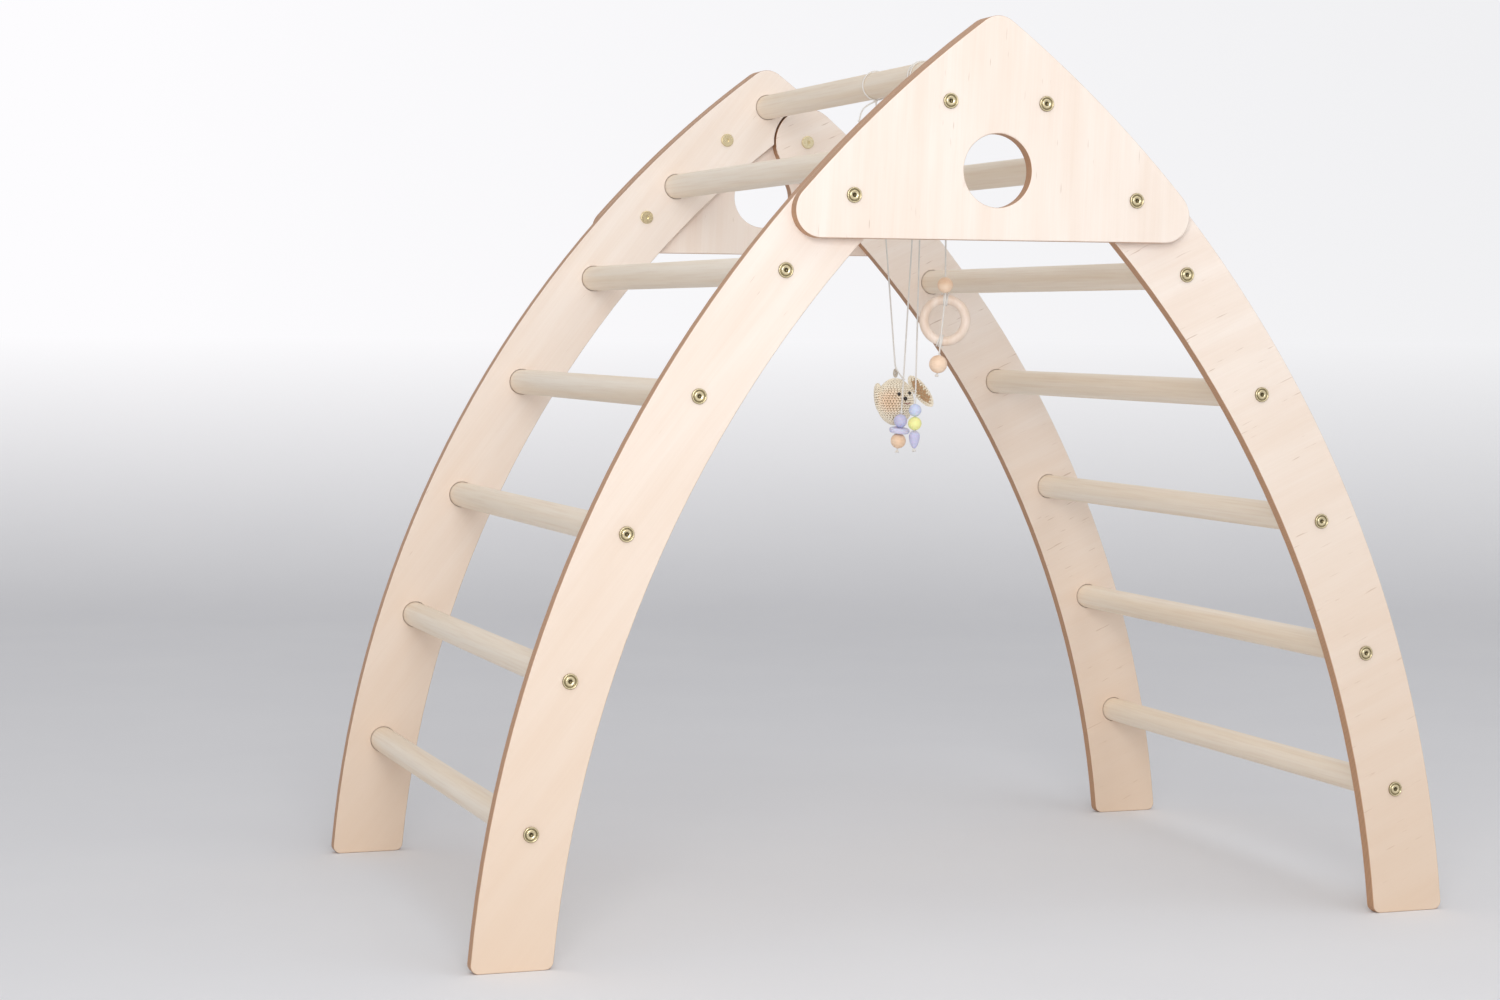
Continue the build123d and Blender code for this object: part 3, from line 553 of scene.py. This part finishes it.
def lashing(name, angle):
    """Three turns of cord round the ring's tube at an angle on the ring."""
    points = []
    for count in range(37):
        share = count / 36
        place = angle + (share - 0.5) * 3 * CORD_MM / RING_MM
        wound = 2 * pi * 3 * share
        reach = RING_MM + cos(wound) * (TUBE_MM / 2 + CORD_MM / 2 + 0.15)
        in_ring = SIDEWAYS * (reach * cos(place)) + Vector((0, 0, reach * sin(place)))
        points.append(ring_middle + in_ring + TOWARD * (sin(wound) * (TUBE_MM / 2 + CORD_MM / 2 + 0.15)))
    return strand(name, points, CORD_MM * 0.95, cord_cotton)


lashings = [lashing("top_lashing", pi / 2), lashing("foot_lashing", -pi / 2 - asin(FOOT_LEAN))]

# %% [markdown]
# ## The crocheted rabbit head
# The head is worked in rounds and stuffed. Every stitch is a small V, set in rows about 3 mm
# apart, and the form under them is painted in shade, so painted shade shows between them. A V of
# two thick drops, seated on the rows of a swelling form by the same tree as the bolts, gives that
# look without any image.

# %% One stitch
def crochet_stitch():
    """Two leaning drops of yarn in a V, standing on the surface."""
    shape = bmesh.new()
    for way in (-1, 1):
        lean = Matrix.Rotation(way * radians(24), 4, "Z")
        size = Matrix.Diagonal((0.85 * MM, 1.75 * MM, 0.8 * MM, 1))
        place = Matrix.Translation((way * 0.72 * MM, 0, 0.15 * MM))
        bmesh.ops.create_uvsphere(shape, u_segments=7, v_segments=5, radius=1.0, matrix=place @ lean @ size)
    mesh = bpy.data.meshes.new("stitch")
    shape.to_mesh(mesh)
    shape.free()
    return mesh


# %% Rows of stitches on a swelling form
STITCH_MM, ROW_MM = 3.1, 2.9


def soft_form(middle, half, lean=0.0):
    """The place of a swelling form: its own axes in the row frame, in millimetres."""
    axes = Matrix((SIDEWAYS, -TOWARD, Vector((0, 0, 1)))).transposed().to_4x4()
    return Matrix.Translation(middle) @ axes @ Matrix.Rotation(radians(-lean), 4, "Y"), Vector(half)


def stitch_seats(form, keep=lambda spot: True):
    """Seats in rows round the form; keep chooses by the spot as a share of the half sizes."""
    place, half = form
    seats = []
    rows = max(4, round(pi * half.z / ROW_MM))
    for row in range(1, rows):
        climb = -pi / 2 + pi * row / rows
        girth = 2 * pi * sqrt((half.x**2 + half.y**2) / 2) * cos(climb)
        around = max(4, round(girth / STITCH_MM))
        for count in range(around):
            t = 2 * pi * (count + 0.5 * (row % 2)) / around
            spot = Vector((cos(t) * cos(climb), sin(t) * cos(climb), sin(climb)))
            if not keep(spot):
                continue
            local = Vector(s * h for s, h in zip(spot, half))
            out = Vector(s / h for s, h in zip(spot, half)).normalized()
            up = Vector((-cos(t) * sin(climb) * half.x, -sin(t) * sin(climb) * half.y, cos(climb) * half.z))
            turn = place.to_3x3()
            seats.append(((place @ local) * MM, turn @ out, turn @ up.normalized()))
    return seats


def stuffing(name, form, finish, share=0.95):
    """The stuffed form under the stitches, a little uneven like real filling."""
    place, half = form
    shape = bmesh.new()
    bmesh.ops.create_uvsphere(shape, u_segments=40, v_segments=24, radius=1.0)
    for vert in shape.verts:
        x, y, z = vert.co
        lump = 1 + 0.012 * sin(5 * x + 2) * sin(4 * z + 1) * cos(3 * y)
        vert.co = (place @ Vector((x * half.x, y * half.y, z * half.z)) - place.translation) * share * lump
        vert.co = (vert.co + place.translation) * MM
    bmesh.ops.recalc_face_normals(shape, faces=shape.faces)
    mesh = bpy.data.meshes.new(name)
    shape.to_mesh(mesh)
    shape.free()
    mesh.materials.append(finish)
    for face in mesh.polygons:
        face.use_smooth = True
    return show(name, mesh)


# %% Yarns of the head
HEAD_MIDDLE = Vector((1.7, -90.4, 559.0))


def beside_head(sideways, height, depth=0.0):
    """A point in millimetres beside the head's middle, as its viewer sees it."""
    return Vector((HEAD_MIDDLE.x, HEAD_MIDDLE.y, height)) + SIDEWAYS * sideways + TOWARD * depth


cheek = tuple(beside_head(-6, 560, 14) * MM)
cream_yarn = yarn_finish("cotton yarn, cream with peach", "#FCF5E6", "#EFE2C9", 0.9, ("#F8D8B8", cheek, 17 * MM))
# painted shade: the yarn under the stitches is darkened to stand for the shade between them
painted_shade_yarn = yarn_finish("cotton yarn, in shade", "#CDB491", "#B59A75", 0.9)
tan_yarn = yarn_finish("cotton yarn, tan", "#CFA67F", "#B58A63", 0.9)
mouth_yarn = yarn_finish("cotton thread, dull red", "#A8605A", "#8C4A46", 0.6)

# %% Head and ears
HEAD = soft_form(HEAD_MIDDLE, (20.2, 15.2, 25.7))
RIGHT_EAR = soft_form(beside_head(28.5, 571), (7.4, 2.4, 20.3), 38)
LEFT_EAR = soft_form(beside_head(-18.3, 563), (5.0, 9.2, 16.2), 7)


def in_lining(spot):
    """The middle of an ear's front, where the tan lining shows."""
    return spot.y < -0.2 and abs(spot.x) < 0.45 and abs(spot.z) < 0.68


soft = [
    stuffing("rabbit_head_stuffing", HEAD, painted_shade_yarn),
    stuffing("rabbit_right_ear_stuffing", RIGHT_EAR, painted_shade_yarn),
    stuffing("rabbit_left_ear_stuffing", LEFT_EAR, painted_shade_yarn),
]
stitched = [
    seat_parts("rabbit_head_stitches", crochet_stitch(), stitch_seats(HEAD), cream_yarn, (0.92, 1.06), 3),
    seat_parts(
        "rabbit_right_ear_stitches",
        crochet_stitch(),
        stitch_seats(RIGHT_EAR, lambda spot: not in_lining(spot)),
        cream_yarn,
        (0.8, 0.95),
        5,
    ),
    seat_parts(
        "rabbit_right_ear_lining",
        crochet_stitch(),
        stitch_seats(RIGHT_EAR, in_lining),
        tan_yarn,
        (0.8, 0.92),
        6,
    ),
    seat_parts("rabbit_left_ear_stitches", crochet_stitch(), stitch_seats(LEFT_EAR), cream_yarn, (0.8, 0.95), 7),
]

# %% Smile and hanging loop
# half sizes of the head with its stitches on
STITCHED_WIDE_MM, STITCHED_DEEP_MM, STITCHED_TALL_MM = 21, 16, 26.5
TAB_RISE_MM, TAB_HALF_MM, TAB_NARROW = 5.4, 3.9, 0.4


def on_head_front(sideways, height, proud=1.0):
    """A point on the front of the head, a little proud of its stitches."""
    share = 1 - (sideways / STITCHED_WIDE_MM) ** 2 - ((height - HEAD_MIDDLE.z) / STITCHED_TALL_MM) ** 2
    return beside_head(sideways, height, STITCHED_DEEP_MM * sqrt(max(share, 0)) + proud)


SMILE_ROUTE = [(11.0, 558.2), (12.8, 556.6), (15.2, 556.8), (16.8, 558.6)]
smile = strand("rabbit_smile", [on_head_front(*spot) for spot in SMILE_ROUTE], 0.9, mouth_yarn)
loop_middle = HEAD_MIDDLE + Vector((0, 0, STITCHED_TALL_MM + 0.3 + TAB_RISE_MM))
loop_points = []
for count in range(12):
    t = 2 * pi * count / 12
    loop_points.append(loop_middle + Vector((TAB_NARROW * cos(t), 0, sin(t))) * (TAB_HALF_MM / cos(pi / 12)))
hanging_loop = strand("hanging_loop", loop_points, 2.6, tab_cotton, closed=True)

# %% [markdown]
# ## What moves with what
# Each piece rides on the part that carries it, and stands for the solid that it replaces.

# %% Ride and replace
def carry(pieces, body):
    """Let pieces move with a body."""
    for piece in pieces:
        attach(piece, body)


garland_cords = [long_cord, tail_cord, short_cord, join_knot, tail_knot] + knots["long"] + knots["short"]
carry(garland_cords, "garland")
carry([drop_cord] + knots["drop"], "bead_drop")
carry([ring_cord] + knots["ring"] + lashings, "ring_toy")
carry(soft + stitched + [smile], "garland")
carry([hanging_loop], "garland")
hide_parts("garland_long_cord")
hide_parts("garland_short_cord")
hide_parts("drop_cord")
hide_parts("ring_cord")
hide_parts("rabbit_hanging_loop")
for piece, node in zip(soft, ("rabbit_head", "rabbit_right_ear", "rabbit_left_ear")):
    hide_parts(node)


# %% [markdown]
# ## Floor, backdrop and light
# A pale sweep has no corner to draw the eye. Soft light from all round keeps the shadows weak, and
# one large lamp beside the camera shapes the rungs. Together they come to about the level at
# which a colour renders as it was written.

# %% Sweep
def sweep_mesh():
    """A floor that bends up into a backdrop, square to the camera."""
    ahead = Vector((sin(CAMERA_YAW), cos(CAMERA_YAW), 0))
    profile = [(-12.0, 0.0), (3.0, 0.0)]
    for count in range(1, 17):
        t = pi / 2 * count / 16
        profile.append((3.0 + 1.8 * sin(t), 1.8 * (1 - cos(t))))
    profile.append((4.8, 7.0))
    verts = [ahead * s + level_right * side + Vector((0, 0, z)) for s, z in profile for side in (-12, 12)]
    faces = [(2 * i, 2 * i + 1, 2 * i + 3, 2 * i + 2) for i in range(len(profile) - 1)]
    mesh = bpy.data.meshes.new("sweep")
    mesh.from_pydata(verts, [], faces)
    for face in mesh.polygons:
        face.use_smooth = True
    return mesh


sweep = show("sweep", sweep_mesh())
paper, tree, shader, place = start_material("paper, pale grey", 0.9)
speckle = noise_on(tree, place.outputs["Object"], (3, 3, 3))
tree.links.new(blend_colours(tree, speckle, linear("#EBEBED"), linear("#E6E6E9")), shader.inputs["Base Color"])
# painted light: only where a ray sees it, the backdrop glows plain near-white with height, and is painted whiter to
# the left as if lit from that side
spot = add_node(tree, "ShaderNodeSeparateXYZ", {0: place.outputs["Object"]}).outputs
height = ramp(tree, spot["Z"], 0.0, 0.6, 0.0, 1.0)
painted_light_leftward = ramp(tree, spot["X"], 3.4, -0.2)
share = add_node(tree, "ShaderNodeMath", {0: looking_rays(tree), 1: height}, operation="MULTIPLY")
white = blend_colours(tree, painted_light_leftward, linear("#F0F0F2"), linear("#FDFCFE"))
painted_glow = add_node(tree, "ShaderNodeEmission", {"Color": white, "Strength": 1.0})
mixed = add_node(tree, "ShaderNodeMixShader", {0: share.outputs[0], 1: shader.outputs[0], 2: painted_glow.outputs[0]})
tree.links.new(mixed.outputs[0], tree.nodes["Material Output"].inputs["Surface"])
sweep.data.materials.append(paper)

# %% Lamps and world
def lamp(name, place, power, size):
    """A large square lamp that faces the middle of the frame."""
    made = bpy.data.objects.new(name, bpy.data.lights.new(name, "AREA"))
    bpy.context.scene.collection.objects.link(made)
    made.data.energy = power
    made.data.size = size
    made.location = place
    made.rotation_euler = (Vector((0, 0, 0.5)) - Vector(place)).to_track_quat("-Z", "Y").to_euler()


lamp("key lamp", (-1.1, -3.1, 1.45), 44, 1.5)
lamp("top lamp", (0.6, -1.2, 3.2), 12, 2.0)
world = bpy.data.worlds.new("studio")
bpy.context.scene.world = world
world.use_nodes = True
sky = world.node_tree
sky.nodes["Background"].inputs["Color"].default_value = linear("#FAFAFB")
sky.nodes["Background"].inputs["Strength"].default_value = 0.62
# beyond the sweep's edges a ray that looks sees plain near-white, which lights nothing
plain = add_node(sky, "ShaderNodeBackground", {"Color": linear("#F6F6F8"), "Strength": 1.0})
lighting = sky.nodes["Background"].outputs[0]
mixed = add_node(sky, "ShaderNodeMixShader", {0: looking_rays(sky), 1: lighting, 2: plain.outputs[0]})
sky.links.new(mixed.outputs[0], sky.nodes["World Output"].inputs["Surface"])
bpy.context.scene.view_settings.view_transform = "Standard"
